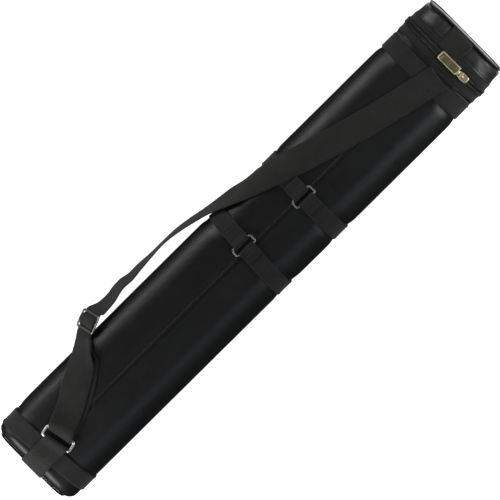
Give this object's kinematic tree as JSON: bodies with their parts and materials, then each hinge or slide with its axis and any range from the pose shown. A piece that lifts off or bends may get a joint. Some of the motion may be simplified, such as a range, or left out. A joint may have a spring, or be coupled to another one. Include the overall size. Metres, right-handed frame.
{
  "type": "cue case",
  "caption": "Long padded hard case for billiard cues, with a zipped hinged lid, webbing bands, carrying strap with ring and adjuster, and divided, lined wells inside.",
  "frame": {"origin": "middle of the case's length and width, on the plane its back rests on (the flat underside of the middle webbing band)", "axes": "+X along the case towards the lid, +Y towards the side the carrying strap hangs over, +Z out of the front face"},
  "size_m": [0.8315, 0.1745, 0.0978],
  "materials": {
    "leatherette": "grained black imitation leather, semi-gloss",
    "piping": "black covered cord",
    "webbing": "black woven polypropylene webbing",
    "zip_tape": "black woven tape",
    "zip_coil": "black nylon coil",
    "brass": "pale worn brass plate",
    "ring_steel": "nickel-plated wire",
    "adjuster_metal": "gunmetal with worn bright edges",
    "shell_board": "moulded fibre",
    "foam": "closed-cell foam",
    "lining": "black velour"
  },
  "bodies": {
    "body": {"shell": "shell_board", "body_padding": "foam", "body_cover": "leatherette", "bottom_panel": "leatherette", "bottom_piping": "piping", "bottom_band": "webbing", "bottom_end_strap": "webbing", "strap_ring": "ring_steel", "strap_adjuster": "adjuster_metal", "shoulder_strap": "webbing", "mid_band_a": "webbing", "mid_band_b": "webbing", "band_ring_a": "adjuster_metal", "band_ring_b": "adjuster_metal", "upper_band": "webbing", "zip_tape_body": "zip_tape", "zip_teeth_body": "zip_coil", "zip_stops": "brass", "hinge_leaf_body": "leatherette", "body_lining": "lining", "bottom_pad": "foam", "well_shelf": "lining", "butt_divider_1": "lining", "butt_divider_2": "lining", "shaft_divider_1": "lining", "shaft_divider_2": "lining", "shaft_divider_3": "lining", "shaft_divider_4": "lining"},
    "lid": {"lid_cover": "leatherette", "lid_padding": "foam", "lid_shell": "shell_board", "lid_lining": "lining", "lid_foam_pad": "foam", "lid_end_panel": "leatherette", "lid_piping": "piping", "lid_strap": "webbing", "zip_tape_lid": "zip_tape", "zip_teeth_lid": "zip_coil", "hinge_leaf_lid": "leatherette"},
    "slider": {"zip_slider": "brass"},
    "pull_link": {"pull_link": "brass"},
    "pull_tag": {"pull_tag": "brass"}
  },
  "joints": [
    {"name": "lid_hinge", "type": "hinge", "parent": "body", "child": "lid", "pos_m": [0.3695, 0, 0.0015], "axis": [0, 1, 0], "range_deg": [0, 110]},
    {"name": "zip_slide", "type": "slide", "parent": "body", "child": "slider", "axis": [0, 1, 0], "range_m": [0, 0.066]},
    {"name": "link_swing", "type": "hinge", "parent": "slider", "child": "pull_link", "pos_m": [0.3695, -0.0346, 0.0926], "axis": [1, 0, 0], "range_deg": [0, 110]},
    {"name": "tag_swing", "type": "hinge", "parent": "pull_link", "child": "pull_tag", "pos_m": [0.3695, -0.029, 0.0926], "axis": [1, 0, 0], "range_deg": [0, 60]}
  ]
}
